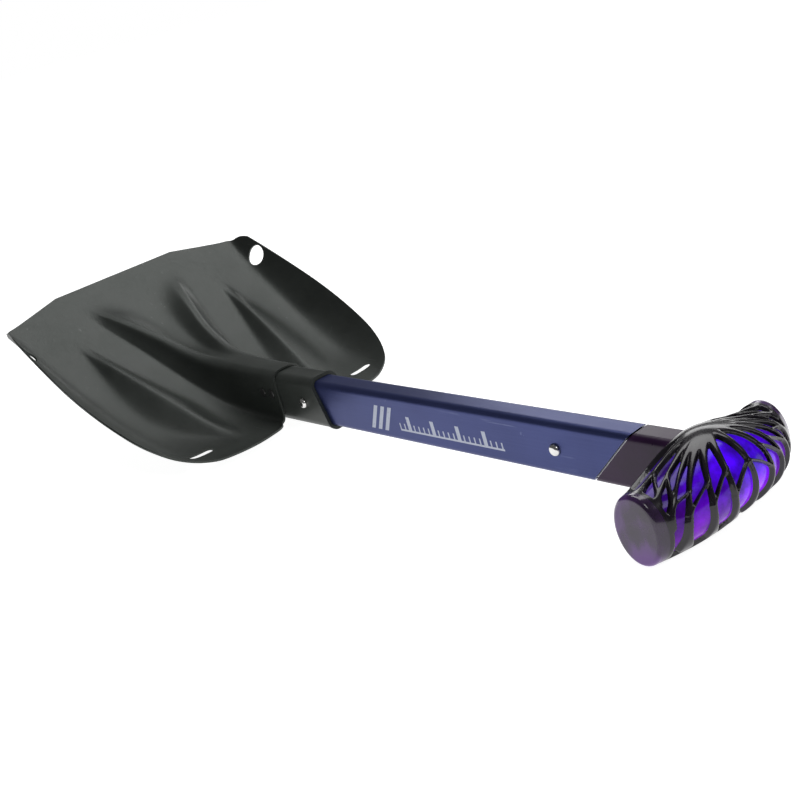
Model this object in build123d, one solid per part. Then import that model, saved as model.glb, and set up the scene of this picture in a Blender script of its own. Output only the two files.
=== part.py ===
from build123d import *
from math import radians, sqrt, tan
import os

# Avalanche shovel: a stamped aluminium blade on a sleeve, a telescoping shaft and a T-grip.
#
# Sizes are in millimetres. The pieces are modelled in the shaft's frame: X runs along the shaft, from the
# blade at -X to the grip at +X; Y runs across the blade; Z is up, with the blade's hollow side up. Its zero
# lies on the shaft's axis, where the outer tube's slanted end crosses that axis. Each piece is moved as it
# is written, so that the origin of the finished part is at the bottom centre of the whole shovel.

# ---- driving dimensions -------------------------------------------------------------------------------

# Shaft section, a rounded trapezoid that is tall and narrow
SHAFT_HEIGHT = 36.0
SHAFT_TOP_WIDTH = 19.0
SHAFT_BOTTOM_WIDTH = 17.0
SHAFT_CORNER_RADIUS = 4.3

# Outer tube
OUTER_WALL = 1.4
OUTER_LOWER_END_X = -384.0
SLANT_ANGLE = 45.0
LOCK_HOLE_X = -41.5
BLADE_HOLE_X = -299.0
BUTTON_HOLE_RADIUS = 4.15
SIDE_DRILL_DEPTH = 1.0
OUTER_BLANK_END_X = 40.0

# Inner tube
TUBE_GAP = 0.9
INNER_WALL = 1.3
INNER_LOWER_END_X = -275.5
INNER_UPPER_END_X = 62.0
EXTENSION_TRAVEL = 180.0

# Shaft guide and glide
GUIDE_CLEARANCE = 0.15
GUIDE_X = (-35.0, -19.5)
GLIDE_LENGTH = 12.0
GLIDE_COLLAR = 5.0
END_PLUG_LENGTH = 9.0
END_PLUG_SETBACK = 0.5
END_PLUG_SLOT = (10.0, 9.0, 22.0)
GLIDE_SLOT = (24.0, 6.0, 18.0)
STEM_CLEARANCE = 0.05

# Sleeve between blade and shaft
SLEEVE_CLEARANCE = 0.3
SLEEVE_WALL = 1.9
SLEEVE_MOUTH_X = -276.5
SLEEVE_MOUTH_ANGLE = 14.0
SLEEVE_FRONT_X = -388.0
SLEEVE_LIP_GROWTH = 0.7
SLEEVE_LIP_LENGTH = 2.4
SLEEVE_BLANK_END_X = -255.0
SLEEVE_LIP_BLANK_X = -300.0

# Rivets through the channel's sides
RIVET_RADIUS = 2.0
RIVET_HEAD_RADIUS = 3.6
RIVET_HEAD_HEIGHT = 1.1
RIVET_X = (-338.0, -350.0)
RIVET_Z = 4.0
RIVET_CUTTER_LENGTH = 12.0
CHANNEL_HALF_WIDTH = 13.6

# Blade sheet
SHEET = 1.6
CHANNEL_END_X = -330.0
RIM_SLOPE = 26.2
RIM_PLACE = (-536.0, 86.5)
CORNER_HOLE_RADIUS = 9.5
CORNER_HOLE = (-521.0, 118.5, 68.0)
CORNER_HOLE_TILT = 58.0
SLOT_CENTRE = (-350.5, 81.5)
SLOT_TURN = 90.0
SLOT_LENGTH = 21.0
SLOT_WIDTH = 8.0
CUTTER_LENGTH = 30.0

# Spring buttons
BUTTON_RADIUS = 3.95
BUTTON_PROUD = 2.8
BUTTON_TRAVEL = 4.5
SPRING_THICKNESS = 0.8
SPRING_HEIGHT = 12.0
SPRING_LENGTH = 38.0
SPRING_BEND = 1.9
SPRING_CLEARANCE = 0.2
SPRING_NEAR_OVERHANG = 9.0
SPRING_FAR_OVERHANG = 3.0
BUTTON_DOME = 2.4

# Grip
GRIP_HALF_LENGTH = 60.0
NECK_GAP = 1.6
WEB_THICKNESS = 2.6
WEB_CLEARANCE = 0.05
CAP_THICKNESS = 5.0
PIN_RADIUS = 3.0
PIN_X = 52.0
PIN_LENGTH = 25.0
NECK_BLANK_X = (-50.0, 50.0)
CAP_ROUNDING = 2.6
NECK_END_X = 46.0
CORE_WALL = 4.0
CORE_SOLID_HALF = 15.0

# Derived walls, as insets from the shaft's outside
INNER_INSET = OUTER_WALL + TUBE_GAP
INNER_BORE_INSET = INNER_INSET + INNER_WALL
SLEEVE_INSET = -SLEEVE_CLEARANCE - SLEEVE_WALL

EPS = 0.01
BIG = 400.0

# ---- blade surface ------------------------------------------------------------------------------------

# Each profile gives one feature of the blade's upper face along X, from the socket end to the leading edge.
FLOOR_Z = [(-300, -18.6), (-350, -18.6), (-366, -16.6), (-394, -9.5), (-431, 5.5), (-467, 23.5), (-506, 46.5),
           (-544, 71.5), (-573, 91.5), (-600, 110.5)]
FOLD_Y = [(-300, 70), (-327, 77), (-345, 87), (-385, 95), (-410, 98.5), (-455, 105), (-490, 109), (-518, 111.5),
          (-540, 114.5), (-560, 118.5), (-600, 122)]
RIM_Y = [(-300, 70), (-312, 76), (-327, 90), (-338, 104), (-350, 111), (-372, 119.3), (-410, 125.7), (-443, 128),
         (-474, 127.3), (-536, 123.8), (-560, 124.5), (-600, 127)]
CREST_Y = [(-300, 6), (-345, 6), (-400, 7.5), (-425, 9.5), (-475, 17), (-505, 26), (-530, 32), (-548, 35),
           (-600, 38)]
CREST_HEIGHT = [(-300, 40.7), (-350, 40.7), (-366, 38.8), (-394, 32.6), (-425, 22.0), (-450, 17.5), (-475, 14.5),
                (-505, 11), (-520, 8), (-535, 3), (-548, 0), (-600, 0)]
VALLEY_DEPTH = [(-300, -0.4), (-405, 0.0), (-425, 2.0), (-450, 7.5), (-475, 10.5), (-505, 10.3), (-520, 8),
                (-535, 3), (-548, 0), (-600, 0)]
SHOULDER_Y = [(-300, 13.2), (-362, 13.4), (-400, 14.8), (-425, 16.5), (-475, 23), (-505, 32), (-530, 39),
              (-548, 43), (-600, 47)]
BASE_Y = [(-300, 13.4), (-362, 13.9), (-398, 20.5), (-450, 27.5), (-475, 31), (-505, 38), (-530, 46),
          (-548, 50), (-600, 54)]
RIDGE_Y = [(-300, 44), (-350, 47), (-372, 52), (-428, 62), (-480, 70), (-508, 74), (-600, 78)]
RIDGE_HEIGHT = [(-300, 0), (-345, 0), (-372, 4.5), (-400, 8.5), (-428, 10), (-460, 9), (-485, 6), (-505, 1.5),
                (-515, 0), (-600, 0)]
RIDGE_INNER_Y = [(-300, 36), (-372, 38), (-415, 41), (-470, 58), (-508, 69), (-600, 74)]
RIDGE_OUTER_Y = [(-300, 50), (-350, 54), (-372, 66), (-394, 78), (-430, 84), (-460, 83), (-508, 79), (-600, 82)]

SECTION_ROWS = [-300, -310, -320, -330, -342, -356, -372, -388, -404, -420, -436, -452, -468, -484, -500, -516,
                -532, -548, -564, -580, -596]
SECTION_SAMPLES = 96
SHEET_SECTIONS = 30


def along(profile, x):
    """Value of a profile at x, straight between its points."""
    for (x0, v0), (x1, v1) in zip(profile[:-1], profile[1:]):
        if x1 <= x <= x0:
            return v0 + (v1 - v0) * (x - x0) / (x1 - x0)
    raise ValueError("x is outside the profile")


def rim_z(x):
    """Height of the blade's rim: a straight slope that levels out behind the blade."""
    corner_x, corner_z = RIM_PLACE
    slope = corner_z + (corner_x - x) * tan(radians(RIM_SLOPE))
    return max(slope, along(FLOOR_Z, x) + 1.2)


def half_section(x):
    """Control points (y, z) of the upper face, from the middle of the blade out past the rim."""
    floor = along(FLOOR_Z, x)
    crest_y = along(CREST_Y, x)
    crest_z = floor + along(CREST_HEIGHT, x)
    valley_z = crest_z - along(VALLEY_DEPTH, x)
    shoulder_y = along(SHOULDER_Y, x)
    base_y = along(BASE_Y, x)
    drop = crest_z - floor
    ridge_y = along(RIDGE_Y, x)
    ridge = along(RIDGE_HEIGHT, x)
    inner_y = along(RIDGE_INNER_Y, x)
    outer_y = along(RIDGE_OUTER_Y, x)
    fold_y = along(FOLD_Y, x)
    rim_y = along(RIM_Y, x)
    wall = rim_z(x) - floor
    run = rim_y - fold_y
    return [
        (0.0, valley_z),
        (0.45 * crest_y, valley_z),
        (crest_y - 1.8, crest_z),
        (crest_y + 1.2, crest_z),
        (0.5 * shoulder_y + 0.5 * crest_y, crest_z - 0.03 * drop),
        (shoulder_y, crest_z - 0.09 * drop),
        (shoulder_y + 0.15 * (base_y - shoulder_y), crest_z - 0.28 * drop),
        (shoulder_y + 0.5 * (base_y - shoulder_y), crest_z - 0.62 * drop),
        (base_y - 0.1, floor + 0.12 * drop),
        (base_y + 1.2, floor + 0.01 * drop),
        (base_y + 6.0, floor),
        (0.5 * (base_y + 6.0 + inner_y), floor),
        (inner_y, floor),
        (0.5 * (inner_y + ridge_y - 2), floor + 0.5 * ridge),
        (ridge_y - 2.0, floor + 1.12 * ridge),
        (ridge_y + 2.0, floor + 1.12 * ridge),
        (0.5 * (outer_y + ridge_y + 2), floor + 0.5 * ridge),
        (outer_y, floor),
        (0.5 * (outer_y + fold_y), floor),
        (fold_y, floor + 0.02 * wall),
        (fold_y + 0.45 * run, floor + 0.3 * wall),
        (rim_y, rim_z(x)),
        (rim_y + 0.4 * run, rim_z(x) + 0.6 * wall),
    ]


def spline_weights(t):
    """Weights of the four control points around a uniform cubic spline's span, at t in that span."""
    return [(1 - t) ** 3 / 6, (3 * t ** 3 - 6 * t ** 2 + 4) / 6, (-3 * t ** 3 + 3 * t ** 2 + 3 * t + 1) / 6,
            t ** 3 / 6]


def smooth_point(points, position):
    """Point on the uniform cubic spline of a list of control points, each a tuple of the same length."""
    span = min(int(position), len(points) - 4)
    weights = spline_weights(position - span)
    return [sum(w * p[axis] for w, p in zip(weights, points[span:span + 4])) for axis in range(len(points[0]))]


def control_rows():
    """The blade's control net: one full-width row of (x, y, z) for each section row."""
    rows = []
    for x in SECTION_ROWS:
        half = [(x, y, z) for y, z in half_section(x)]
        rows.append([(x, -y, z) for x, y, z in reversed(half[1:])] + half)
    return rows


def upper_point(rows, along_blade, across_blade):
    """Point on the blade's upper face at two positions, each from 0 to 1."""
    row_position = along_blade * (len(rows) - 3)
    point_position = across_blade * (len(rows[0]) - 3)
    crossing = [smooth_point(row, point_position) for row in rows]
    return Vector(*smooth_point(crossing, row_position))


def sheet_points(rows, along_blade):
    """Upper and lower points of one section through the sheet, both in the same plane across the blade."""
    step = 1e-3
    upper = []
    lower = []
    for index in range(SECTION_SAMPLES + 1):
        across = index / SECTION_SAMPLES
        point = upper_point(rows, along_blade, across)
        side = upper_point(rows, along_blade, min(across + step, 1)) - upper_point(rows, along_blade,
                                                                                  max(across - step, 0))
        ahead = upper_point(rows, min(along_blade + step, 1), across) - upper_point(rows, max(along_blade - step, 0),
                                                                                   across)
        normal = side.cross(ahead).normalized()
        flat = Vector(0, normal.Y, normal.Z)
        upper.append(point)
        lower.append(point - flat * (SHEET / (flat.length ** 2)))
    return upper, lower


def sheet_section(rows, along_blade):
    """Closed outline of one section through the sheet."""
    upper, lower = sheet_points(rows, along_blade)
    knots = [index / SECTION_SAMPLES for index in range(SECTION_SAMPLES + 1)]
    top = Edge.make_spline(upper, parameters=knots)
    bottom = Edge.make_spline(lower, parameters=knots)
    sides = [Edge.make_line(upper[0], lower[0]), Edge.make_line(upper[-1], lower[-1])]
    return make_face([top, sides[1], bottom, sides[0]])


def blade_outline():
    """Plan view of the trimmed blade: chamfered leading edge, bowed sides, lobes behind, and the socket's end."""
    nose = (-572.6, 60.6)
    rounding = Bezier((-559.8, 112.5), (-557.8, 120.8), (-548.5, 121.8), (-526, 124.9))
    flank = [(-505, 126.6), (-474, 127.6), (-443, 127.6), (-410, 125.4), (-372, 118.6), (-349, 109), (-335, 98.5),
             (-328, 88), (-322, 72), (-319, 58), (-318.6, 44), (-320.5, 32), (-325, 20)]
    socket = (CHANNEL_END_X, CHANNEL_HALF_WIDTH + 2 * SHEET)
    side = Spline(rounding @ 1, *flank, socket)
    back = (CHANNEL_END_X, -1)
    front = (nose[0], -1)
    return make_face([Line(nose, rounding @ 0), rounding, side, Line(socket, back), Line(back, front),
                      Line(front, nose)])


def corner_hole(side):
    """Cutter for the round hole in one front corner, square to the side wall there."""
    x, y, z = CORNER_HOLE
    place = Pos(x, side * y, z) * Rot(0, RIM_SLOPE, 0) * Rot(side * CORNER_HOLE_TILT, 0, 0)
    return place * Cylinder(CORNER_HOLE_RADIUS, CUTTER_LENGTH)


def strap_slot(side):
    """Cutter for the long slot in one rear lobe."""
    x, y = SLOT_CENTRE
    place = Pos(x, side * y, 0) * Rot(0, 0, side * SLOT_TURN)
    return place * extrude(SlotOverall(SLOT_LENGTH, SLOT_WIDTH), amount=2 * CUTTER_LENGTH, both=True)


def blade():
    """Stamped sheet with a raised socket channel that splits into two ridges, and two outer ridges."""
    rows = control_rows()
    sections = [sheet_section(rows, index / SHEET_SECTIONS) for index in range(SHEET_SECTIONS + 1)]
    trim = extrude(blade_outline() + mirror(blade_outline(), Plane.XZ), amount=BIG, both=True)
    sheet = loft(sections) & trim
    for side in (-1, 1):
        sheet -= corner_hole(side)
        sheet -= strap_slot(side)
    for place in rivet_places():
        sheet -= place * Cylinder(RIVET_RADIUS, RIVET_CUTTER_LENGTH)
    return sheet


# ---- shaft section ------------------------------------------------------------------------------------


def shaft_face(inset):
    """The shaft's section in the YZ plane, with each wall moved inward by inset (outward if negative)."""
    lean = (SHAFT_TOP_WIDTH - SHAFT_BOTTOM_WIDTH) / 2 / SHAFT_HEIGHT
    middle = (SHAFT_TOP_WIDTH + SHAFT_BOTTOM_WIDTH) / 4
    half_height = SHAFT_HEIGHT / 2 - inset
    shift = inset * sqrt(1 + lean ** 2)
    top = middle + lean * half_height - shift
    bottom = middle - lean * half_height - shift
    outline = Polygon((-top, half_height), (-bottom, -half_height), (bottom, -half_height), (top, half_height),
                      align=None)
    return fillet(outline.vertices(), max(SHAFT_CORNER_RADIUS - inset, 0.8))


def shaft_bar(inset, start_x, end_x):
    """Solid bar of the shaft's section between two places along the shaft."""
    return extrude(Plane.YZ.offset(start_x) * shaft_face(inset), amount=end_x - start_x)


def shaft_tube(inset, wall, start_x, end_x):
    """Tube whose outside is the shaft's section moved inward by inset."""
    return shaft_bar(inset, start_x, end_x) - shaft_bar(inset + wall, start_x - 1, end_x + 1)


def beyond_slant(axis_x, angle):
    """Everything on the grip's side of a slanted plane that crosses the shaft's axis at axis_x."""
    corner = (Align.MIN, Align.CENTER, Align.CENTER)
    return Pos(axis_x, 0, 0) * Rot(0, angle, 0) * Box(BIG, BIG, BIG, align=corner)


def side_wall_y(inset, z=0.0):
    """Half width of the shaft's section at height z."""
    lean = (SHAFT_TOP_WIDTH - SHAFT_BOTTOM_WIDTH) / 2 / SHAFT_HEIGHT
    return (SHAFT_TOP_WIDTH + SHAFT_BOTTOM_WIDTH) / 4 + lean * z - inset


def side_hole(x, radius):
    """Cutter for a round hole through the near side only."""
    drill = Cylinder(radius, CUTTER_LENGTH, align=(Align.CENTER, Align.CENTER, Align.MIN))
    return Pos(x, -SIDE_DRILL_DEPTH, 0) * Rot(90, 0, 0) * drill


def outer_shaft():
    """Anodised tube with a slanted upper end and one button hole at each end of its near side."""
    tube = shaft_tube(0, OUTER_WALL, OUTER_LOWER_END_X, OUTER_BLANK_END_X) - beyond_slant(0, SLANT_ANGLE)
    return tube - side_hole(LOCK_HOLE_X, BUTTON_HOLE_RADIUS) - side_hole(BLADE_HOLE_X, BUTTON_HOLE_RADIUS)


def shaft_guide():
    """Plastic lining in the upper mouth of the outer tube, which the inner tube runs in."""
    start, end = GUIDE_X
    return shaft_tube(OUTER_WALL, TUBE_GAP - GUIDE_CLEARANCE, start, end)


def outer_end_plug():
    """Plastic plug that keeps snow out of the outer tube's lower end."""
    start = OUTER_LOWER_END_X + END_PLUG_SETBACK
    plug = shaft_bar(OUTER_WALL, start, start + END_PLUG_LENGTH)
    return plug - Pos(start + END_PLUG_LENGTH, 0, 0) * Box(*END_PLUG_SLOT)


def inner_shaft():
    """Sliding tube, with button holes for its two catches and a hole for the grip's cross pin."""
    tube = shaft_tube(INNER_INSET, INNER_WALL, INNER_LOWER_END_X, INNER_UPPER_END_X)
    tube -= side_hole(LOCK_HOLE_X, BUTTON_HOLE_RADIUS)
    tube -= side_hole(LOCK_HOLE_X - EXTENSION_TRAVEL, BUTTON_HOLE_RADIUS)
    return tube - grip_cross_pin()


def inner_glide():
    """Plastic plug in the inner tube's lower end, with a collar that runs inside the outer tube."""
    x = INNER_LOWER_END_X
    collar = shaft_bar(OUTER_WALL + GUIDE_CLEARANCE, x - GLIDE_COLLAR, x)
    stem = shaft_bar(INNER_BORE_INSET + STEM_CLEARANCE, x, x + GLIDE_LENGTH)
    return collar + stem - Pos(x - GLIDE_COLLAR, 0, 0) * Box(*GLIDE_SLOT)


# ---- spring buttons -----------------------------------------------------------------------------------


def hairpin(x, inset, pressed=0.0):
    """Flat spring bent to a V inside a tube: one arm carries the button, the other presses on the far wall."""
    reach = side_wall_y(inset) - SPRING_THICKNESS / 2 - SPRING_CLEARANCE
    bend_x = x - SPRING_LENGTH
    elbow_x = x - 2 * BUTTON_RADIUS
    near_end = (x + SPRING_NEAR_OVERHANG, pressed - reach)
    near_arm = Polyline(near_end, (elbow_x, pressed - reach), (bend_x, -SPRING_BEND))
    turn = ThreePointArc((bend_x, -SPRING_BEND), (bend_x - SPRING_BEND, 0), (bend_x, SPRING_BEND))
    far_arm = Polyline((bend_x, SPRING_BEND), (elbow_x, reach), (x + SPRING_FAR_OVERHANG, reach))
    ribbon = trace(near_arm + turn + far_arm, SPRING_THICKNESS)
    return extrude(ribbon, amount=SPRING_HEIGHT / 2, both=True)


def button(x, inset, spring_inset, pressed=0.0):
    """Domed pin on the near arm of a hairpin spring, standing proud of the wall whose inset is given."""
    root_y = side_wall_y(spring_inset) - SPRING_CLEARANCE + EPS
    tip_y = side_wall_y(inset) + BUTTON_PROUD
    shank = Cylinder(BUTTON_RADIUS, tip_y - root_y, align=(Align.CENTER, Align.CENTER, Align.MIN))
    dome = fillet(shank.edges().sort_by(Axis.Z)[-1], BUTTON_DOME)
    return Pos(x, pressed - root_y, 0) * Rot(90, 0, 0) * dome


# ---- sleeve and rivets --------------------------------------------------------------------------------


def sleeve():
    """Rectangular tube in the blade's channel that the shaft slides into, with a rolled lip at its mouth."""
    tube = shaft_tube(SLEEVE_INSET, SLEEVE_WALL, SLEEVE_FRONT_X, SLEEVE_BLANK_END_X)
    lip = shaft_tube(SLEEVE_INSET - SLEEVE_LIP_GROWTH, SLEEVE_WALL + SLEEVE_LIP_GROWTH,
                     SLEEVE_LIP_BLANK_X, SLEEVE_BLANK_END_X)
    beyond_mouth = beyond_slant(SLEEVE_MOUTH_X, -SLEEVE_MOUTH_ANGLE)
    lip &= Pos(-SLEEVE_LIP_LENGTH, 0, 0) * beyond_mouth
    body = (tube + lip) - beyond_mouth
    body -= side_hole(BLADE_HOLE_X, BUTTON_HOLE_RADIUS)
    for place in rivet_places():
        body -= place * Cylinder(RIVET_RADIUS, RIVET_CUTTER_LENGTH)
    return body


def rivet_places():
    """Where the four rivets pass through the channel's two sides, each with its Z pointing outward."""
    places = []
    for side in (-1, 1):
        for x in RIVET_X:
            places.append(Pos(x, side * CHANNEL_HALF_WIDTH, RIVET_Z) * Rot(side * -90, 0, 0))
    return places


def sleeve_rivets():
    """Four low-headed rivets that hold the sleeve in the channel."""
    rivets = []
    root_depth = CHANNEL_HALF_WIDTH - side_wall_y(-SLEEVE_CLEARANCE, RIVET_Z)
    head = Cylinder(RIVET_HEAD_RADIUS, RIVET_HEAD_HEIGHT, align=(Align.CENTER, Align.CENTER, Align.MIN))
    head = fillet(head.edges().sort_by(Axis.Z)[-1], 0.8 * RIVET_HEAD_HEIGHT)
    shank = Cylinder(RIVET_RADIUS, root_depth, align=(Align.CENTER, Align.CENTER, Align.MAX))
    for place in rivet_places():
        rivets.append(place * (shank + head))
    return Compound(rivets)


# ---- grip ---------------------------------------------------------------------------------------------

# Sections of the grip across Y: share of the half length, middle in X, half width in X, top and bottom in Z
GRIP_SECTIONS = [(0.0, 63.5, 28.0, 25.0, -25.6), (0.25, 63.0, 27.4, 22.6, -26.0), (0.5, 61.6, 25.4, 17.8, -26.6),
                 (0.72, 59.8, 21.8, 14.8, -27.2), (0.88, 58.4, 17.8, 13.8, -27.4), (1.0, 57.6, 14.0, 14.2, -27.2)]


def grip_section(station, inset):
    """Ellipse across the grip at one station, on a plane square to Y."""
    share, middle, half_width, top, bottom = station
    y = share * GRIP_HALF_LENGTH
    plane = Plane(origin=(middle, y, (top + bottom) / 2), x_dir=(1, 0, 0), z_dir=(0, 1, 0))
    return plane * Ellipse(half_width - inset, (top - bottom) / 2 - inset)


def grip_body(inset, end_cut):
    """Solid T-grip form, moved inward by inset and cut short by end_cut at each end."""
    half = loft([grip_section(station, inset) for station in GRIP_SECTIONS])
    whole = half + mirror(half, Plane.XZ)
    return whole & Box(BIG, 2 * (GRIP_HALF_LENGTH - end_cut), BIG)


def grip_cross_pin():
    """Steel pin that holds the core and the inner tube together."""
    return Pos(PIN_X, 0, 0) * Rot(90, 0, 0) * Cylinder(PIN_RADIUS, PIN_LENGTH)


def grip_neck():
    """Moulded neck that fills the slanted gap between the outer tube and the grip and holds the inner tube."""
    neck = shaft_bar(0, NECK_BLANK_X[0], NECK_END_X) & beyond_slant(NECK_GAP, SLANT_ANGLE)
    return neck - shaft_bar(INNER_INSET - WEB_CLEARANCE, *NECK_BLANK_X)


def grip_core():
    """Translucent core moulded over the end of the inner tube."""
    core = grip_body(WEB_THICKNESS + WEB_CLEARANCE, CAP_THICKNESS + WEB_CLEARANCE)
    core -= shaft_bar(-WEB_CLEARANCE, NECK_BLANK_X[0], NECK_END_X + WEB_CLEARANCE)
    core -= shaft_bar(INNER_INSET - WEB_CLEARANCE, NECK_BLANK_X[0], INNER_UPPER_END_X + WEB_CLEARANCE)
    middle = Box(BIG, 2 * CORE_SOLID_HALF, BIG)
    hollow = grip_body(WEB_THICKNESS + CORE_WALL, 0) - middle
    return core - hollow - grip_cross_pin()


def grip_web():
    """Dark overmoulded skin around the core, open where the neck enters."""
    skin = grip_body(0, CAP_THICKNESS) - grip_body(WEB_THICKNESS, 0)
    return skin - shaft_bar(-WEB_CLEARANCE, *NECK_BLANK_X)


def grip_end_cap(side):
    """Smooth cap that closes one end of the grip, with a rounded rim."""
    end = Pos(0, side * (GRIP_HALF_LENGTH - CAP_THICKNESS / 2), 0) * Box(BIG, CAP_THICKNESS, BIG)
    cap = grip_body(0, 0) & end
    rim = cap.edges().sort_by(Axis.Y)[-1 if side > 0 else 0]
    return fillet(rim, CAP_ROUNDING)


# ---- output -------------------------------------------------------------------------------------------


def pieces():
    """Every piece by its node's name, in the shaft's frame."""
    return {
        "blade": blade(),
        "blade_sleeve": sleeve(),
        "sleeve_rivets": sleeve_rivets(),
        "outer_shaft": outer_shaft(),
        "shaft_guide": shaft_guide(),
        "outer_end_plug": outer_end_plug(),
        "blade_lock_spring": hairpin(BLADE_HOLE_X, OUTER_WALL),
        "blade_lock_button": button(BLADE_HOLE_X, SLEEVE_INSET, OUTER_WALL),
        "inner_shaft": inner_shaft(),
        "inner_glide": inner_glide(),
        "stowed_lock_spring": hairpin(LOCK_HOLE_X, INNER_BORE_INSET),
        "stowed_lock_button": button(LOCK_HOLE_X, 0.0, INNER_BORE_INSET),
        "extended_lock_spring": hairpin(LOCK_HOLE_X - EXTENSION_TRAVEL, INNER_BORE_INSET, BUTTON_TRAVEL),
        "extended_lock_button": button(LOCK_HOLE_X - EXTENSION_TRAVEL, 0.0, INNER_BORE_INSET, BUTTON_TRAVEL),
        "grip_neck": grip_neck(),
        "grip_core": grip_core(),
        "grip_web": grip_web(),
        "grip_end_cap_right": grip_end_cap(-1),
        "grip_end_cap_left": grip_end_cap(1),
        "grip_cross_pin": grip_cross_pin(),
    }


def main():
    os.makedirs("parts", exist_ok=True)
    made = pieces()
    box = Compound(list(made.values())).bounding_box()
    shift = Pos(-(box.min.X + box.max.X) / 2, 0, -box.min.Z)
    for name, piece in made.items():
        export_step(shift * piece, f"parts/{name}.step")


main()
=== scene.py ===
import bpy
import numpy as np
from mathutils import Matrix, Vector


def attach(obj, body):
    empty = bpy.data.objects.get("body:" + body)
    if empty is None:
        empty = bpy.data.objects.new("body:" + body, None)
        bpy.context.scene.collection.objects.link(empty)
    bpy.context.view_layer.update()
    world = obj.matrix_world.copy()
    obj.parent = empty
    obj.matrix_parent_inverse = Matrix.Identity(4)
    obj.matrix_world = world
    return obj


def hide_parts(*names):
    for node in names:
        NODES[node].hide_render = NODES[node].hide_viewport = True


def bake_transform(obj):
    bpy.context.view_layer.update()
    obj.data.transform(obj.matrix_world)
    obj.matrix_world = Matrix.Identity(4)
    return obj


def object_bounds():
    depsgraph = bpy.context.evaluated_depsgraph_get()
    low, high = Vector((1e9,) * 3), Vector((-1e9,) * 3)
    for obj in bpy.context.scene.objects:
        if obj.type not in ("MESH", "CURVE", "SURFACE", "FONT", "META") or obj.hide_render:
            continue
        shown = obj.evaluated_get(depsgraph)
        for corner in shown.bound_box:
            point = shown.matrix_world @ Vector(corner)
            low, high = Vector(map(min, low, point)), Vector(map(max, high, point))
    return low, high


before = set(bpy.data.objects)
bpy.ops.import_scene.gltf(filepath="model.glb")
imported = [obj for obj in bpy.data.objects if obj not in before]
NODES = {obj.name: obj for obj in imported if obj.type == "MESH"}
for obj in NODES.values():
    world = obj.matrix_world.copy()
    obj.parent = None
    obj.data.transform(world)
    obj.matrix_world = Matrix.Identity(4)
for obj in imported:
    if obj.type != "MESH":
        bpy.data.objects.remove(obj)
CAD_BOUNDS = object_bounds()

MM = 0.001
AXIS_Z = 27.405 * MM          # height of the shaft's axis
SHAFT_START = 240.549 * MM    # where the outer tube's slanted end crosses the axis


# ---- node helpers -----------------------------------------------------------------------------------

class Shader:
    """A material's node tree, with short calls for the nodes used here."""

    def __init__(self, name):
        self.material = bpy.data.materials.new(name)
        self.material.use_nodes = True
        self.tree = self.material.node_tree
        self.bsdf = self.tree.nodes["Principled BSDF"]
        self.place = self.tree.nodes.new("ShaderNodeTexCoord").outputs["Object"]

    def node(self, kind, inputs=None, **settings):
        made = self.tree.nodes.new(kind)
        for key, value in settings.items():
            setattr(made, key, value)
        for key, value in (inputs or {}).items():
            self.put(made.inputs[key], value)
        return made

    def put(self, socket, value):
        if isinstance(value, bpy.types.NodeSocket):
            self.tree.links.new(value, socket)
        elif isinstance(value, tuple) and len(value) == 3 and socket.type == "RGBA":
            socket.default_value = (*value, 1.0)
        else:
            socket.default_value = value

    def set(self, **values):
        for key, value in values.items():
            self.put(self.bsdf.inputs[key.replace("_", " ")], value)

    def stretched(self, scale):
        return self.node("ShaderNodeMapping", {"Vector": self.place, "Scale": scale}).outputs["Vector"]

    def noise(self, size, detail=4.0, roughness=0.55, scale=(1.0, 1.0, 1.0)):
        """Noise whose cells are about size metres across."""
        made = self.node("ShaderNodeTexNoise", {"Vector": self.stretched(scale), "Scale": 1.0 / size,
                                                "Detail": detail, "Roughness": roughness})
        return made.outputs["Fac"]

    def cells(self, size, scale):
        """Distance to rounded cell centres, in cells about size metres across."""
        made = self.node("ShaderNodeTexVoronoi", {"Vector": self.stretched(scale), "Scale": 1.0 / size},
                         feature="SMOOTH_F1")
        return made.outputs["Distance"]

    def math(self, operation, a, b=0.0, clamp=False):
        made = self.node("ShaderNodeMath", operation=operation, use_clamp=clamp)
        self.put(made.inputs[0], a)
        self.put(made.inputs[1], b)
        return made.outputs[0]

    def remap(self, value, low, high, to_low=0.0, to_high=1.0):
        made = self.node("ShaderNodeMapRange", {"Value": value, "From Min": low, "From Max": high,
                                                "To Min": to_low, "To Max": to_high})
        return made.outputs["Result"]

    def mix(self, amount, a, b):
        made = self.node("ShaderNodeMix", data_type="RGBA")
        self.put(made.inputs[0], amount)
        self.put(made.inputs[6], a)
        self.put(made.inputs[7], b)
        return made.outputs[2]

    def axes(self):
        split = self.node("ShaderNodeSeparateXYZ", {"Vector": self.place})
        return split.outputs["X"], split.outputs["Y"], split.outputs["Z"]

    def bump(self, height, strength, distance):
        made = self.node("ShaderNodeBump", {"Height": height, "Strength": strength, "Distance": distance})
        self.put(self.bsdf.inputs["Normal"], made.outputs["Normal"])

    def scratches(self, density=0.62):
        """Sparse fine marks in two directions, 0 to 1."""
        one = self.noise(0.0035, 2.0, scale=(0.035, 1.0, 1.0))
        two = self.noise(0.0045, 2.0, scale=(1.0, 0.05, 0.6))
        patch = self.remap(self.noise(0.05), 0.48, 0.62)
        marks = self.math("MAXIMUM", self.remap(one, density, density + 0.05),
                          self.remap(two, density + 0.02, density + 0.07))
        return self.math("MULTIPLY", marks, patch, True)


def band(shader, value, low, high, soft):
    """1 between two values, falling to 0 over soft on each side."""
    rise = shader.remap(value, low - soft, low + soft)
    fall = shader.remap(value, high - soft, high + soft, 1.0, 0.0)
    return shader.math("MULTIPLY", rise, fall)


# ---- materials ---------------------------------------------------------------------------------------

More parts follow.
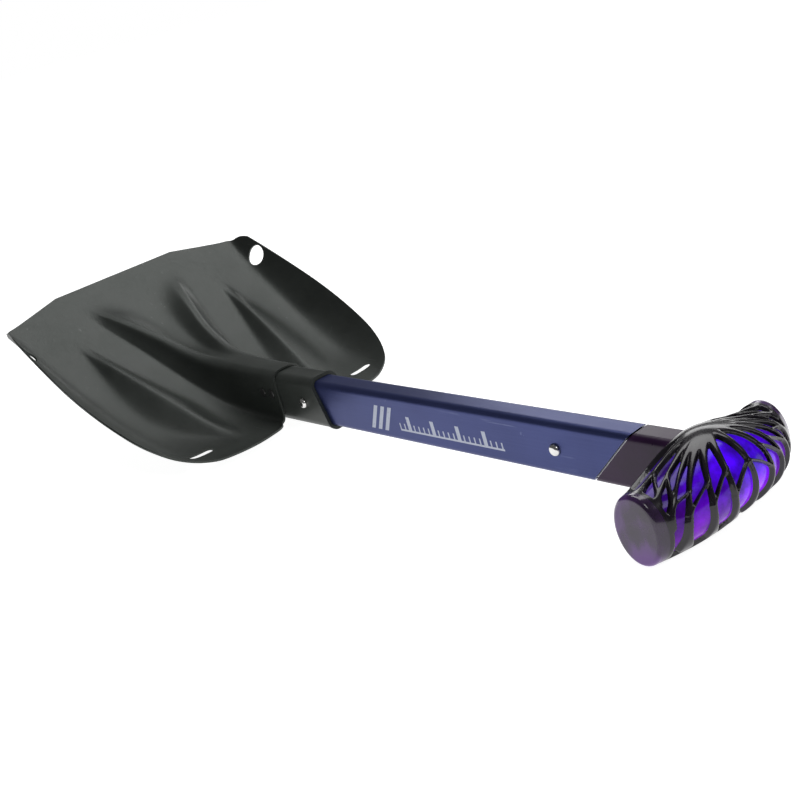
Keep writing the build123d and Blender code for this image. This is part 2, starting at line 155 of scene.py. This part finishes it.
def charcoal_anodised(name, rough=0.46):
    """Dark hard-anodised aluminium: satin, with faint brushing, handling marks and blotches."""
    s = Shader(name)
    blotch = s.noise(0.045, 5.0)
    grain = s.noise(0.0022, 3.0, scale=(0.08, 1.0, 1.0))
    colour = s.mix(s.remap(blotch, 0.35, 0.68), (0.033, 0.0385, 0.0345), (0.050, 0.0575, 0.0520))
    colour = s.mix(s.remap(grain, 0.3, 0.75, 0.0, 0.35), colour, (0.052, 0.058, 0.053))
    worn = s.scratches(0.68)
    colour = s.mix(s.math("MULTIPLY", worn, 0.5), colour, (0.09, 0.095, 0.092))
    s.set(Base_Color=colour, Metallic=0.35, Specular_IOR_Level=0.5)
    fine = s.math("ADD", s.remap(grain, 0.2, 0.8, -0.05, 0.05),
                  s.remap(blotch, 0.3, 0.7, rough - 0.04, rough + 0.05))
    s.set(Roughness=s.math("SUBTRACT", fine, s.math("MULTIPLY", worn, 0.12)))
    s.bump(s.math("ADD", s.math("MULTIPLY", grain, 0.6), s.noise(0.0009, 2.0)), 0.12, 0.00025)
    return s.material


BAR_PITCH = 7.5e-3            # m between the slanted bars
TICK_PITCH = 5.0e-3
LONG_TICK_PITCH = 25.0e-3
INK_EDGE = 1.0e-4             # m over which the print fades at its edges


def tube_graphic(s):
    """Generic pale scale on the tube's right side: slanted bars, then a rule of ticks. 0 to 1."""
    x, y, z = s.axes()
    side = s.math("LESS_THAN", y, -0.007)
    lean = s.math("ADD", x, s.math("MULTIPLY", z, -0.55))
    bars = s.math("FRACT", s.math("DIVIDE", lean, BAR_PITCH))
    bars = band(s, bars, 0.22, 0.74, 0.02)
    bars = s.math("MULTIPLY", bars, band(s, lean, 0.0086, 0.0289, INK_EDGE))
    bars = s.math("MULTIPLY", bars, band(s, z, 0.0165, 0.0355, 0.00012))
    tick = s.math("FRACT", s.math("DIVIDE", x, TICK_PITCH))
    tick = band(s, tick, 0.38, 0.62, 0.02)
    major = s.math("FRACT", s.math("DIVIDE", x, LONG_TICK_PITCH))
    major = band(s, major, 0.43, 0.57, 0.004)
    low_ticks = s.math("MULTIPLY", tick, band(s, z, 0.0200, 0.0246, INK_EDGE))
    high_ticks = s.math("MULTIPLY", major, band(s, z, 0.0200, 0.0305, INK_EDGE))
    rule = band(s, z, 0.0188, 0.0202, INK_EDGE)
    scale = s.math("MAXIMUM", s.math("MAXIMUM", low_ticks, high_ticks), rule)
    scale = s.math("MULTIPLY", scale, band(s, x, 0.0520, 0.1540, INK_EDGE))
    printed = s.math("MAXIMUM", bars, scale, True)
    return s.math("MULTIPLY", printed, side)


def blue_anodised(name):
    """Blue anodised aluminium tube with drawn-tube grain, light scuffs and a printed scale."""
    s = Shader(name)
    grain = s.noise(0.0011, 3.0, scale=(0.02, 1.0, 1.0))
    blotch = s.noise(0.06, 4.0)
    colour = s.mix(s.remap(blotch, 0.35, 0.65), (0.036, 0.047, 0.150), (0.044, 0.057, 0.178))
    colour = s.mix(s.remap(grain, 0.35, 0.75, 0.0, 0.3), colour, (0.066, 0.082, 0.225))
    worn = s.scratches(0.69)
    colour = s.mix(s.math("MULTIPLY", worn, 0.3), colour, (0.22, 0.25, 0.42))
    rough = s.remap(grain, 0.2, 0.8, 0.30, 0.40)
    ink = s.math("MULTIPLY", tube_graphic(s), s.remap(s.noise(0.0016, 3.0), 0.30, 0.40, 0.72, 1.0))
    colour = s.mix(ink, colour, (0.46, 0.49, 0.58))
    rough = s.math("ADD", rough, s.math("MULTIPLY", ink, 0.2))
    s.set(Base_Color=colour, Metallic=0.72, Roughness=rough, Specular_IOR_Level=0.5)
    s.bump(s.math("ADD", grain, s.math("MULTIPLY", worn, -0.4)), 0.10, 0.0002)
    return s.material


def bare_aluminium(name):
    """Clear-anodised inner tube with draw lines and rub marks from sliding."""
    s = Shader(name)
    grain = s.noise(0.0010, 3.0, scale=(0.015, 1.0, 1.0))
    rub = s.remap(s.noise(0.02, 3.0, scale=(0.2, 1.0, 1.0)), 0.45, 0.62)
    colour = s.mix(grain, (0.42, 0.42, 0.44), (0.60, 0.60, 0.62))
    colour = s.mix(s.math("MULTIPLY", rub, 0.4), colour, (0.30, 0.30, 0.32))
    s.set(Base_Color=colour, Metallic=1.0, Roughness=s.remap(rub, 0.0, 1.0, 0.30, 0.42))
    s.bump(grain, 0.15, 0.0002)
    return s.material


def polished_steel(name, tint=(0.72, 0.71, 0.70), rough=0.09):
    """Bright plated steel with faint turning marks and thumb smears."""
    s = Shader(name)
    smear = s.noise(0.004, 3.0)
    marks = s.noise(0.0006, 2.0, scale=(1.0, 0.1, 1.0))
    colour = s.mix(s.remap(smear, 0.4, 0.7), tint, tuple(0.86 * c for c in tint))
    s.set(Base_Color=colour, Metallic=1.0, Roughness=s.remap(smear, 0.35, 0.7, rough, rough + 0.09))
    s.bump(marks, 0.05, 0.0001)
    return s.material


def moulded_plastic(name, low, high, rough, coat=0.0, grain_size=0.0007, texture=0.18, specular=0.5):
    """Moulded polymer: fine spark texture, slight tone variation and dull rub marks."""
    s = Shader(name)
    tone = s.noise(0.02, 4.0)
    fine = s.noise(grain_size, 2.0)
    worn = s.scratches(0.68)
    colour = s.mix(s.remap(tone, 0.35, 0.65), low, high)
    colour = s.mix(s.math("MULTIPLY", worn, 0.3), colour, tuple(min(1.0, c * 2.2 + 0.02) for c in high))
    s.set(Base_Color=colour, Roughness=s.math("ADD", s.remap(tone, 0.3, 0.7, rough - 0.03, rough + 0.04),
                                              s.math("MULTIPLY", worn, 0.12)))
    s.bsdf.inputs["Specular IOR Level"].default_value = specular
    s.bsdf.inputs["Coat Weight"].default_value = coat
    s.bsdf.inputs["Coat Roughness"].default_value = 0.06
    s.bump(fine, texture, 0.0002)
    return s.material


def violet_core(name):
    """Translucent violet core with a painted glow: emission stands in for light through the plastic, varied
    by facets and clouds, brighter towards the outer end and in the middle, blue in the middle and magenta low
    down.
    """
    s = Shader(name)
    x, y, z = s.axes()
    low = s.remap(z, 0.004, 0.034, 1.0, 0.0)
    across = s.math("ABSOLUTE", y)
    middle = s.remap(across, 0.006, 0.052, 1.0, 0.0)
    painted_glow_outward = s.remap(x, 0.290, 0.331)
    facet = s.cells(0.010, (1.0, 0.7, 1.0))
    cloud = s.noise(0.012, 4.0, 0.6)
    # Painted glow: facets and clouds vary the emission's strength as if light came through deeper and
    # shallower plastic.
    depth = s.math("MULTIPLY", s.remap(facet, 0.1, 0.7, 0.35, 1.3), s.remap(cloud, 0.32, 0.68, 0.3, 1.45))
    blue = (0.055, 0.0, 0.95)
    violet = (0.10, 0.0, 0.62)
    magenta = (0.42, 0.0, 0.62)
    # Colour of the painted glow: violet at the sides, blue in the middle, magenta low down.
    colour = s.mix(middle, violet, blue)
    colour = s.mix(s.math("MULTIPLY", low, 0.85), colour, magenta)
    # Painted glow: emission stronger towards the outer end and in the middle.
    glow = s.math("MULTIPLY", depth, s.math("ADD", s.math("MULTIPLY", painted_glow_outward, 0.75), 0.14))
    glow = s.math("MULTIPLY", glow, s.remap(middle, 0.0, 1.0, 0.45, 1.25))
    s.set(Base_Color=s.mix(cloud, (0.010, 0.0, 0.05), (0.05, 0.0, 0.22)), Emission_Color=colour,
          Emission_Strength=glow, Roughness=s.remap(cloud, 0.3, 0.7, 0.10, 0.2))
    s.bsdf.inputs["Coat Weight"].default_value = 0.1
    s.bsdf.inputs["Coat Roughness"].default_value = 0.05
    s.bsdf.inputs["Specular IOR Level"].default_value = 0.2
    s.bump(facet, 0.5, 0.0012)
    return s.material


def plum_cap(name):
    """Smooth smoky plum end cap with cloudy tone, painted lighter reflection streaks and a painted glow that
    is stronger low down.
    """
    s = Shader(name)
    z = s.axes()[2]
    cloud = s.noise(0.016, 3.0, 0.5)
    painted_light_streak = s.noise(0.014, 2.0, 0.4, (1.0, 1.0, 0.45))
    colour = s.mix(s.remap(cloud, 0.38, 0.62), (0.014, 0.006, 0.022), (0.036, 0.013, 0.060))
    # Painted reflection: lighter diagonal streaks in the base colour.
    colour = s.mix(s.remap(painted_light_streak, 0.52, 0.60, 0.0, 0.7), colour, (0.085, 0.035, 0.15))
    s.set(Base_Color=colour, Roughness=s.remap(cloud, 0.3, 0.7, 0.14, 0.24),
          # Painted glow: emission in the streaks, stronger low down.
          Emission_Color=s.mix(s.remap(z, 0.006, 0.03), (0.11, 0.0, 0.26), (0.03, 0.0, 0.08)),
          Emission_Strength=s.remap(painted_light_streak, 0.45, 0.7, 0.03, 0.32))
    s.bsdf.inputs["Coat Weight"].default_value = 0.35
    s.bsdf.inputs["Coat Roughness"].default_value = 0.08
    s.bump(s.noise(0.004, 2.0), 0.04, 0.0003)
    return s.material


# ---- grip web ----------------------------------------------------------------------------------------

# Share of the half length, then in mm: middle X from the slanted end, half width X, and top and bottom Z
# from the axis.
GRIP_STATIONS = [
    (0.0, 63.5, 28.0, 25.0, -25.6), (0.25, 63.0, 27.4, 22.6, -26.0), (0.5, 61.6, 25.4, 17.8, -26.6),
    (0.72, 59.8, 21.8, 14.8, -27.2), (0.88, 58.4, 17.8, 13.8, -27.4), (1.0, 57.6, 14.0, 14.2, -27.2),
]
GRIP_HALF = 60.0
WEB_HALF = 55.0
WEB_DEPTH = 2.9
AROUND = 0.46                 # mm along the surface per degree around the grip

# One half of the rib fan. Each rib: start, bend and end as (mm from the middle, degrees round from the top
# towards the palm side), then its width in mm at the start, middle and end.
RIBS = [
    ((0.0, 8.0), (0.0, 74.0), (0.0, 142.0), (3.4, 1.4, 3.6)),
    ((3.0, 8.0), (23.0, 56.0), (13.5, 140.0), (3.4, 1.4, 3.6)),
    ((6.0, 8.0), (37.0, 42.0), (29.0, 138.0), (3.4, 1.4, 3.6)),
    ((8.0, 6.0), (48.0, 28.0), (45.0, 132.0), (3.4, 1.4, 3.8)),
    ((8.0, 1.0), (42.0, 9.0), (54.0, 82.0), (3.4, 1.4, 3.6)),
    ((8.0, -5.0), (40.0, -4.0), (54.0, 40.0), (3.6, 1.6, 3.6)),
    ((8.0, -14.0), (30.0, -28.0), (54.0, 0.0), (4.0, 2.3, 4.0)),
    ((6.0, -24.0), (22.0, -62.0), (54.0, -50.0), (4.6, 2.8, 4.6)),
    ((12.0, -84.0), (32.0, -86.0), (54.0, -98.0), (3.6, 1.6, 3.6)),
]
# Links between two ribs: rib and share along it, then the other rib and share, and the link's middle width.
LINKS = [(0, 0.42, 1, 0.68, 1.1), (1, 0.42, 2, 0.66, 1.1), (2, 0.44, 3, 0.68, 1.1), (3, 0.48, 4, 0.80, 1.1),
         (5, 0.50, 4, 0.78, 1.2), (6, 0.60, 5, 0.84, 1.3)]
HUB = [((0.0, -34.0), 7.5), ((0.0, -20.0), 8.5), ((0.0, -6.0), 8.0), ((0.0, 5.0), 4.5)]
END_RIM = 52.2                # mm from the middle: solid from here to the end cap

# Edges of the solid skin, in degrees round the grip: the palm side's edge is wavy.
PALM_EDGE = 142.0
PALM_WAVE = 7.0               # degrees
PALM_WAVE_LENGTH = 8.0        # mm per radian of the wave
REAR_EDGE = -132.0
NECK_EDGE = -66.0             # solid up to here around the neck
NECK_HALF = 12.5              # mm
NECK_FILLET = 4.0             # mm

# Section of a rib, in mm.
FILLET = 1.3                  # where two ribs meet
WALL_INSET = 0.35             # the side starts this far inside the rib's edge
WALL_WIDTH = 1.1
CROWN_WIDTH = 1.6
CROWN_DROP = 0.3              # a rib's edge lies this much below its middle
FAR = 99.0

RIB_STEPS = 17
WIDTH_SHARES = (0.0, 0.16, 0.5, 0.86, 1.0)    # places along a rib where its width is set
LINK_SAG = (1.6, -4.0)        # mm and degrees that a link's bend lies off its straight line

MESH_ROWS = 245
MESH_COLUMNS = 400
MESH_SEAM = -134.0            # degrees
MESH_MARGIN = 0.02            # mm
SKIN_INSET = 0.03             # mm below the outer form
# Room for the neck, which fills this place: half width, half height and far end in mm.
NECK_ROOM = (8.6, 17.0, 50.0)


def grip_station(share):
    """Middle X, half width, top and bottom of the grip's ellipse at a share of its half length."""
    table = np.array(GRIP_STATIONS)
    slopes = np.gradient(table[:, 1:], table[:, 0], axis=0)
    slopes[0] = 0.0
    i = int(np.clip(np.searchsorted(table[:, 0], share) - 1, 0, len(table) - 2))
    step = table[i + 1, 0] - table[i, 0]
    t = (share - table[i, 0]) / step
    return ((2 * t ** 3 - 3 * t ** 2 + 1) * table[i, 1:] + (t ** 3 - 2 * t ** 2 + t) * step * slopes[i]
            + (3 * t ** 2 - 2 * t ** 3) * table[i + 1, 1:] + (t ** 3 - t ** 2) * step * slopes[i + 1])


def bent(start, bend, end, t):
    return (1 - t) ** 2 * np.array(start) + 2 * t * (1 - t) * np.array(bend) + t ** 2 * np.array(end)


def rib_lines():
    """Each rib and link as a line of (mm across, mm around, half width) in the flattened surface."""
    steps = np.linspace(0.0, 1.0, RIB_STEPS)
    lines = []
    for start, bend, end, (root, middle, tip) in RIBS:
        widths = np.interp(steps, WIDTH_SHARES, (root * 0.9, root * 0.5, middle / 2, tip * 0.4, tip))
        lines.append([(*bent(start, bend, end, t), w) for t, w in zip(steps, widths)])
    for first, first_share, second, second_share, middle in LINKS:
        start = bent(*RIBS[first][:3], first_share)
        end = bent(*RIBS[second][:3], second_share)
        bend = (start + end) / 2 + np.array(LINK_SAG)
        flare = middle * 0.7
        widths = np.interp(steps, WIDTH_SHARES, (flare, middle / 2, middle / 2, middle / 2, flare))
        lines.append([(*bent(start, bend, end, t), w) for t, w in zip(steps, widths)])
    return [np.array(line) * (1.0, AROUND, 1.0) for line in lines]


def gap_to_line(p, line):
    """Distance from each place to the edge of one rib, negative inside it."""
    gap = np.full(p.shape[:-1], FAR)
    for (y0, t0, w0), (y1, t1, w1) in zip(line, line[1:]):
        start = np.array((y0, t0))
        step = np.array((y1, t1)) - start
        along = np.clip(((p - start) @ step) / (step @ step), 0.0, 1.0)
        distance = np.linalg.norm(p - start - along[..., None] * step, axis=-1)
        gap = np.minimum(gap, distance - (w0 + along * (w1 - w0)))
    return gap


def join(a, b, radius=FILLET):
    """Smaller of two gaps, with a fillet where they meet."""
    share = np.clip(0.5 + 0.5 * (a - b) / radius, 0.0, 1.0)
    return a * (1 - share) + b * share - radius * share * (1 - share)


def web_depth(y, degrees):
    """How deep, in mm, the surface lies below the grip's outer form at each place."""
    across = np.abs(y)
    p = np.stack([across, degrees * AROUND], axis=-1)
    gap = np.full(y.shape, FAR)
    for line in rib_lines():
        gap = join(gap, gap_to_line(p, line))
    for (hub_y, hub_degrees), radius in HUB:
        gap = join(gap, np.linalg.norm(p - np.array((hub_y, hub_degrees * AROUND)), axis=-1) - radius)
    gap = join(gap, END_RIM - across)
    gap = join(gap, (PALM_EDGE + PALM_WAVE * np.cos(across / PALM_WAVE_LENGTH) - degrees) * AROUND)
    gap = join(gap, (degrees - REAR_EDGE) * AROUND)
    gap = join(gap, np.maximum(across - NECK_HALF, (degrees - NECK_EDGE) * AROUND), NECK_FILLET)
    wall = np.clip((gap + WALL_INSET) / WALL_WIDTH, 0.0, 1.0)
    crown = np.clip(1.0 + gap / CROWN_WIDTH, 0.0, 1.0)
    return WEB_DEPTH * wall * wall * (3 - 2 * wall) + CROWN_DROP * crown ** 2 * (1 - wall)


def web_mesh():
    """Skin of the grip with open windows between curved ribs that fan out from the hub on top."""
    rows = MESH_ROWS
    columns = MESH_COLUMNS
    ys = np.linspace(-WEB_HALF + MESH_MARGIN, WEB_HALF - MESH_MARGIN, rows)
    degrees = MESH_SEAM + 360.0 * np.arange(columns) / columns
    grid_y, grid_d = np.meshgrid(ys, degrees, indexing="ij")
    depth = web_depth(grid_y, grid_d)
    angle = np.radians(grid_d)
    form = np.array([grip_station(abs(v) / GRIP_HALF) for v in ys])
    half_height = (form[:, 2] - form[:, 3]) / 2
    middle_z = (form[:, 2] + form[:, 3]) / 2
    normal_x = np.sin(angle) / form[:, 1][:, None]
    normal_z = np.cos(angle) / half_height[:, None]
    size = np.hypot(normal_x, normal_z)
    depth = depth + SKIN_INSET
    px = form[:, 0][:, None] + form[:, 1][:, None] * np.sin(angle) - depth * normal_x / size
    pz = middle_z[:, None] + half_height[:, None] * np.cos(angle) - depth * normal_z / size
    points = np.stack([px * MM + SHAFT_START, grid_y * MM, pz * MM + AXIS_Z], axis=-1).reshape(-1, 3)
    open_place = depth > WEB_DEPTH - MESH_MARGIN
    neck_half_width, neck_half_height, neck_end = NECK_ROOM
    inside_neck = (np.abs(grid_y) < neck_half_width) & (np.abs(pz) < neck_half_height) & (px < neck_end)
    gone = open_place | inside_neck
    faces = []
    for i in range(rows - 1):
        for j in range(columns):
            k = (j + 1) % columns
            if gone[i, j] and gone[i + 1, j] and gone[i + 1, k] and gone[i, k]:
                continue
            faces.append((i * columns + j, (i + 1) * columns + j, (i + 1) * columns + k, i * columns + k))
    used = sorted({v for f in faces for v in f})
    renumber = {v: n for n, v in enumerate(used)}
    return points[used], [tuple(renumber[v] for v in f) for f in faces]


def add_mesh(name, points, faces, material):
    mesh = bpy.data.meshes.new(name)
    mesh.from_pydata([tuple(p) for p in points], [], faces)
    mesh.shade_smooth()
    mesh.materials.append(material)
    made = bpy.data.objects.new(name, mesh)
    bpy.context.scene.collection.objects.link(made)
    return made


# ---- looks of the nodes -------------------------------------------------------------------------------

def dress(node, material):
    mesh = NODES[node].data
    mesh.materials.clear()
    mesh.materials.append(material)


blade_finish = charcoal_anodised("blade_finish")
sleeve_finish = charcoal_anodised("sleeve_finish", 0.42)
dark_plastic = moulded_plastic("dark_plastic", (0.010, 0.010, 0.011), (0.018, 0.018, 0.019), 0.48)
neck_plastic = moulded_plastic("neck_gloss", (0.020, 0.0045, 0.028), (0.029, 0.007, 0.040), 0.30, 0.06,
                               0.0012, 0.03, 0.22)
web_plastic = moulded_plastic("web_gloss", (0.005, 0.003, 0.007), (0.010, 0.007, 0.013), 0.22, 0.28,
                              0.0010, 0.04, 0.4)
core_plastic = violet_core("core_violet")
cap_plastic = plum_cap("cap_plum")
button_steel = polished_steel("button_chrome_look")
spring_metal = polished_steel("spring_look", (0.50, 0.49, 0.47), 0.24)
rivet_metal = moulded_plastic("rivet_look", (0.014, 0.014, 0.014), (0.028, 0.028, 0.028), 0.34, 0.2)
pin_metal = polished_steel("pin_look", (0.60, 0.60, 0.61), 0.2)
blue_finish = blue_anodised("tube_blue_look")
inner_finish = bare_aluminium("tube_inner_look")

FINISHES = {
    "blade": blade_finish, "blade_sleeve": sleeve_finish, "sleeve_rivets": rivet_metal,
    "outer_shaft": blue_finish, "inner_shaft": inner_finish, "shaft_guide": dark_plastic,
    "outer_end_plug": dark_plastic, "inner_glide": dark_plastic, "grip_neck": neck_plastic,
    "grip_core": core_plastic, "grip_end_cap_right": cap_plastic, "grip_end_cap_left": cap_plastic,
    "grip_cross_pin": pin_metal,
}
for node_name in NODES:
    if node_name in FINISHES:
        dress(node_name, FINISHES[node_name])
    elif "spring" in node_name:
        dress(node_name, spring_metal)
    elif "button" in node_name:
        dress(node_name, button_steel)

web_points, web_faces = web_mesh()
web = add_mesh("grip_web_ribs", web_points, web_faces, web_plastic)
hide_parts("grip_web")
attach(web, "grip_group")


# ---- copies of the lock springs ----------------------------------------------------------------------------


def add_bending_spring(node):
    """Puts a copy of the hairpin spring's mesh in place of the node, with its transform baked in."""
    spring = bpy.data.objects.new(node + "_bending", NODES[node].data.copy())
    bpy.context.scene.collection.objects.link(spring)
    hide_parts(node)
    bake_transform(spring)


add_bending_spring("blade_lock_spring")
add_bending_spring("stowed_lock_spring")


# ---- stage -----------------------------------------------------------------------------------------------

FLOOR_HALF = 40.0             # m
FLOOR_GAP = 2.0e-4            # m below the object
CAMERA_PLACE = (0.6702, -0.4444, 0.3151)
CAMERA_RIGHT = (0.6347, 0.7293, -0.2556)
CAMERA_UP = (-0.1092, 0.4121, 0.9046)
CAMERA_BACK = (0.765, -0.5462, 0.3412)


def add_floor():
    s = Shader("floor_white")
    tone = s.noise(1.5, 2.0)
    s.set(Base_Color=s.mix(tone, (0.58, 0.58, 0.58), (0.60, 0.60, 0.60)), Roughness=0.9,
          Emission_Color=(1.0, 1.0, 1.0), Emission_Strength=0.94)
    s.bsdf.inputs["Specular IOR Level"].default_value = 0.1
    half = FLOOR_HALF
    level = CAD_BOUNDS[0][2] - FLOOR_GAP
    floor = add_mesh("floor", [(-half, -half, level), (half, -half, level), (half, half, level),
                               (-half, half, level)], [(0, 1, 2, 3)], s.material)


def add_light(name, place, target, size, watts):
    data = bpy.data.lights.new(name, "AREA")
    data.shape = "RECTANGLE"
    data.size = size[0]
    data.size_y = size[1]
    data.energy = watts
    lamp = bpy.data.objects.new(name, data)
    lamp.location = place
    lamp.rotation_euler = (Vector(target) - Vector(place)).to_track_quat("-Z", "Y").to_euler()
    bpy.context.scene.collection.objects.link(lamp)


def add_world():
    world = bpy.data.worlds.new("studio")
    world.use_nodes = True
    tree = world.node_tree
    seen = tree.nodes.new("ShaderNodeLightPath").outputs["Is Camera Ray"]
    strength = tree.nodes.new("ShaderNodeMapRange")
    strength.inputs["To Min"].default_value = 0.12
    strength.inputs["To Max"].default_value = 1.0
    tree.links.new(seen, strength.inputs["Value"])
    tree.links.new(strength.outputs["Result"], tree.nodes["Background"].inputs["Strength"])
    tree.nodes["Background"].inputs["Color"].default_value = (1.0, 1.0, 1.0, 1.0)
    bpy.context.scene.world = world


def add_camera():
    data = bpy.data.cameras.new("camera")
    data.sensor_width = 36.0
    data.lens = 52.88
    data.clip_start = 0.02
    data.clip_end = 200.0
    camera = bpy.data.objects.new("camera", data)
    turn = Matrix((CAMERA_RIGHT, CAMERA_UP, CAMERA_BACK)).transposed()
    camera.matrix_world = Matrix.Translation(CAMERA_PLACE) @ turn.to_4x4()
    bpy.context.scene.collection.objects.link(camera)
    bpy.context.scene.camera = camera


add_floor()
add_world()
add_light("overhead", (-0.2, 0.6, 1.6), (-0.1, 0.0, 0.05), (1.4, 1.0), 15.0)
add_light("rear_strip", (-0.5, 1.4, 0.7), (0.0, 0.0, 0.05), (1.6, 0.4), 6.0)
add_light("grip_key", (1.0, -0.2, 0.9), (0.3, 0.0, 0.03), (0.35, 0.35), 1.6)
add_camera()
bpy.context.scene.view_settings.view_transform = "Standard"
